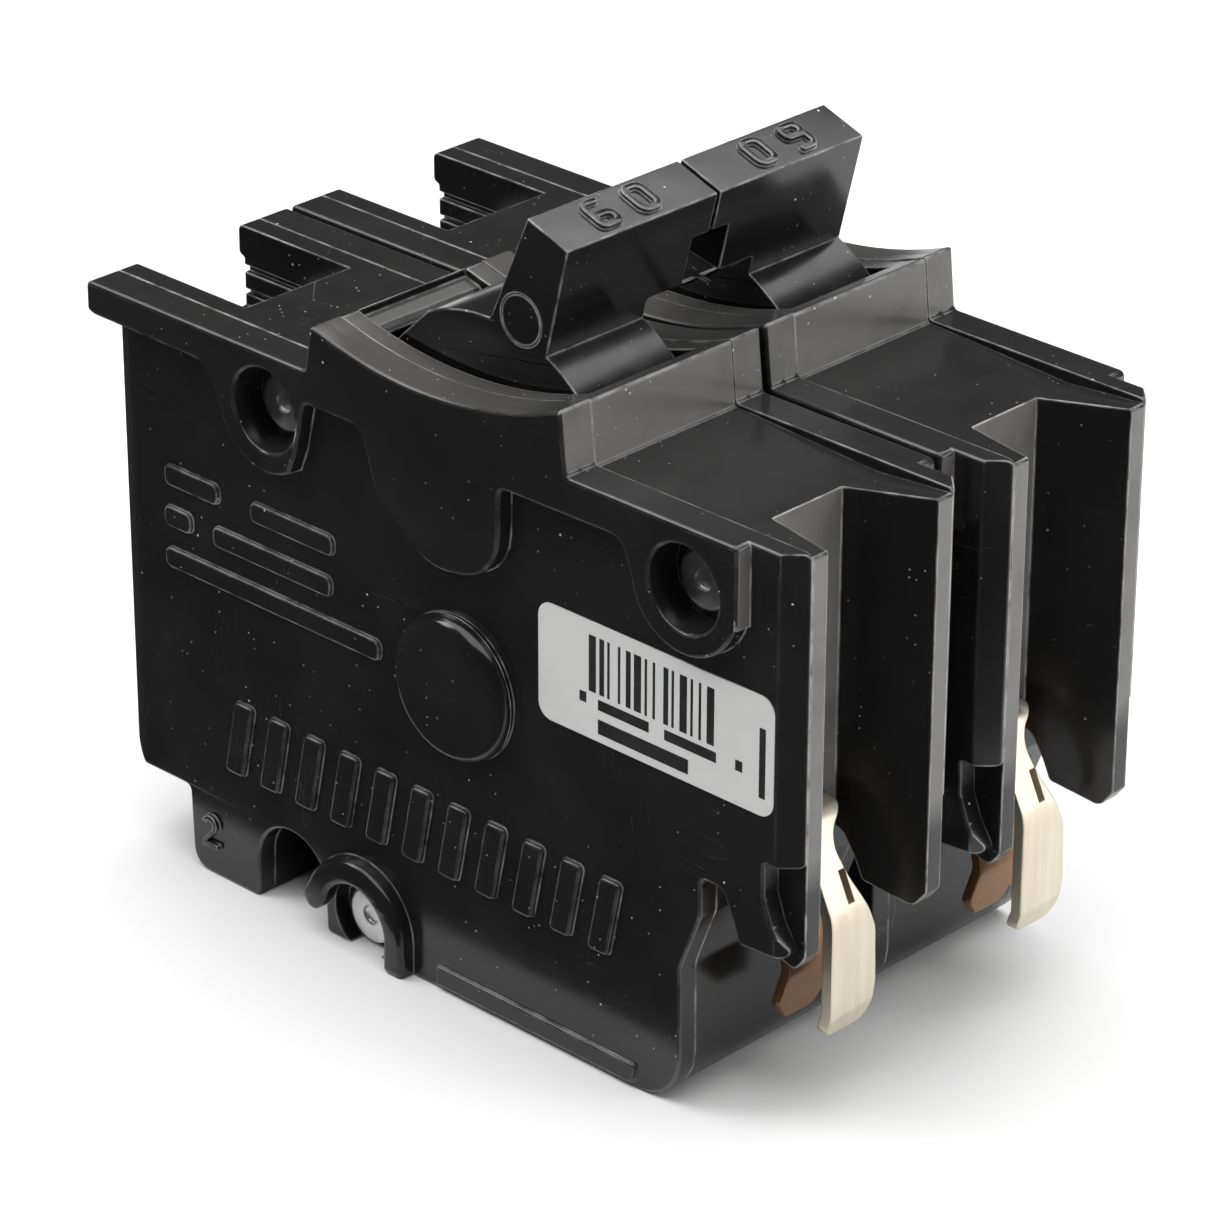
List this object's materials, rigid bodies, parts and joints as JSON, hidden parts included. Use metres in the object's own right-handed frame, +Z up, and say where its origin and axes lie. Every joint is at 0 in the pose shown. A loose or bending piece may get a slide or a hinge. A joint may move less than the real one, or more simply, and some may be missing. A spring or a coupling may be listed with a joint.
{
  "type": "plug-in circuit breaker",
  "caption": "Two-pole plug-in circuit breaker with a riveted moulded case, tied rocker handles, sprung line jaws and open load-terminal pockets.",
  "frame": {"origin": "centre of the rectangle round the whole breaker, on the plane of its base", "axes": "+X towards the line-jaw end, +Y from the labelled pole to the other pole, +Z up towards the handles"},
  "size_m": [0.086, 0.0508, 0.0763],
  "materials": {
    "phenolic": "glossy moulded phenolic, lightly scuffed",
    "phenolic_frame": "moulded phenolic, a little duller than the covers",
    "handle_black": "glossy black moulding",
    "steel_pin": "drawn steel",
    "jaw_plated": "tin-plated spring brass",
    "jaw_copper": "bare spring copper",
    "strap_copper": "bare copper bar",
    "contact_silver": "silver alloy contact",
    "magnet_iron": "zinc-plated soft iron",
    "fibre_board": "vulcanised fibre",
    "bimetal_strip": "rolled bimetal",
    "lug_aluminium": "tin-plated aluminium",
    "rivet_aluminium": "spun aluminium",
    "screw_zinc": "bright zinc plate",
    "trip_bar_nylon": "natural nylon",
    "label_white": "satin printed film"
  },
  "bodies": {
    "case": {"near_cover_a": "phenolic", "frame_a": "phenolic_frame", "far_cover_a": "phenolic", "handle_pin_a": "steel_pin", "arm_pin_a": "steel_pin", "line_strap_a": "strap_copper", "fixed_contact_a": "contact_silver", "jaw_outer_a": "jaw_plated", "jaw_inner_a": "jaw_copper", "arc_plates_a": "magnet_iron", "arc_sides_a": "fibre_board", "cradle_pin_a": "steel_pin", "spring_a": "steel_pin", "armature_pin_a": "steel_pin", "magnet_yoke_a": "magnet_iron", "bimetal_a": "bimetal_strip", "braid_a": "jaw_copper", "load_strap_a": "strap_copper", "lug_a": "lug_aluminium", "near_cover_b": "phenolic", "frame_b": "phenolic_frame", "far_cover_b": "phenolic", "handle_pin_b": "steel_pin", "arm_pin_b": "steel_pin", "line_strap_b": "strap_copper", "fixed_contact_b": "contact_silver", "jaw_outer_b": "jaw_plated", "jaw_inner_b": "jaw_copper", "arc_plates_b": "magnet_iron", "arc_sides_b": "fibre_board", "cradle_pin_b": "steel_pin", "spring_b": "steel_pin", "armature_pin_b": "steel_pin", "magnet_yoke_b": "magnet_iron", "bimetal_b": "bimetal_strip", "braid_b": "jaw_copper", "load_strap_b": "strap_copper", "lug_b": "lug_aluminium", "rivets": "rivet_aluminium", "label": "label_white"},
    "handles": {"handle_a": "handle_black", "handle_b": "handle_black", "handle_tie": "steel_pin"},
    "trip": {"trip_bar": "trip_bar_nylon"},
    "arm_a": {"contact_arm_a": "strap_copper", "moving_contact_a": "contact_silver"},
    "latch_a": {"cradle_a": "steel_pin"},
    "armature_body_a": {"armature_a": "magnet_iron"},
    "lug_screw_a": {"terminal_screw_a": "screw_zinc"},
    "trim_screw_a": {"calibration_screw_a": "screw_zinc"},
    "arm_b": {"contact_arm_b": "strap_copper", "moving_contact_b": "contact_silver"},
    "latch_b": {"cradle_b": "steel_pin"},
    "armature_body_b": {"armature_b": "magnet_iron"},
    "lug_screw_b": {"terminal_screw_b": "screw_zinc"},
    "trim_screw_b": {"calibration_screw_b": "screw_zinc"}
  },
  "joints": [
    {"name": "handle_swing", "type": "hinge", "parent": "case", "child": "handles", "pos_m": [0.0025, 0, 0.0492], "axis": [0, -1, 0], "range_deg": [0, 33]},
    {"name": "trip_bar_turn", "type": "hinge", "parent": "case", "child": "trip", "pos_m": [-0.006, 0, 0.02], "axis": [0, 1, 0], "range_deg": [0, 20]},
    {"name": "contact_arm_a_turn", "type": "hinge", "parent": "case", "child": "arm_a", "pos_m": [0.004, -0.0127, 0.0385], "axis": [0, 1, 0], "range_deg": [0, 22], "deforming": ["spring_a", "braid_a"]},
    {"name": "cradle_a_turn", "type": "hinge", "parent": "case", "child": "latch_a", "pos_m": [-0.006, -0.0127, 0.042], "axis": [0, -1, 0], "range_deg": [0, 20]},
    {"name": "armature_a_turn", "type": "hinge", "parent": "case", "child": "armature_body_a", "pos_m": [-0.0117, -0.0127, 0.034], "axis": [0, 1, 0], "range_deg": [0, 4.5]},
    {"name": "terminal_screw_a_turn", "type": "hinge", "parent": "case", "child": "lug_screw_a", "pos_m": [-0.036, -0.0127, 0.05], "axis": [0, 0, 1], "continuous": true},
    {"name": "calibration_screw_a_turn", "type": "hinge", "parent": "case", "child": "trim_screw_a", "pos_m": [-0.024, -0.0127, 0.0415], "axis": [1, 0, 0], "continuous": true},
    {"name": "contact_arm_b_turn", "type": "hinge", "parent": "case", "child": "arm_b", "pos_m": [0.004, 0.0127, 0.0385], "axis": [0, 1, 0], "range_deg": [0, 22], "deforming": ["spring_b", "braid_b"]},
    {"name": "cradle_b_turn", "type": "hinge", "parent": "case", "child": "latch_b", "pos_m": [-0.006, 0.0127, 0.042], "axis": [0, -1, 0], "range_deg": [0, 20]},
    {"name": "armature_b_turn", "type": "hinge", "parent": "case", "child": "armature_body_b", "pos_m": [-0.0117, 0.0127, 0.034], "axis": [0, 1, 0], "range_deg": [0, 4.5]},
    {"name": "terminal_screw_b_turn", "type": "hinge", "parent": "case", "child": "lug_screw_b", "pos_m": [-0.036, 0.0127, 0.05], "axis": [0, 0, 1], "continuous": true},
    {"name": "calibration_screw_b_turn", "type": "hinge", "parent": "case", "child": "trim_screw_b", "pos_m": [-0.024, 0.0127, 0.0415], "axis": [1, 0, 0], "continuous": true}
  ],
  "couplings": [
    {"joint": "trip_bar_turn", "follows": "cradle_a_turn", "ratio": 1},
    {"joint": "contact_arm_a_turn", "follows": "handle_swing", "ratio": 0.66},
    {"joint": "armature_a_turn", "follows": "cradle_a_turn", "ratio": 0.225},
    {"joint": "contact_arm_b_turn", "follows": "handle_swing", "ratio": 0.66},
    {"joint": "armature_b_turn", "follows": "cradle_a_turn", "ratio": 0.225},
    {"joint": "cradle_b_turn", "follows": "cradle_a_turn", "ratio": 1}
  ]
}
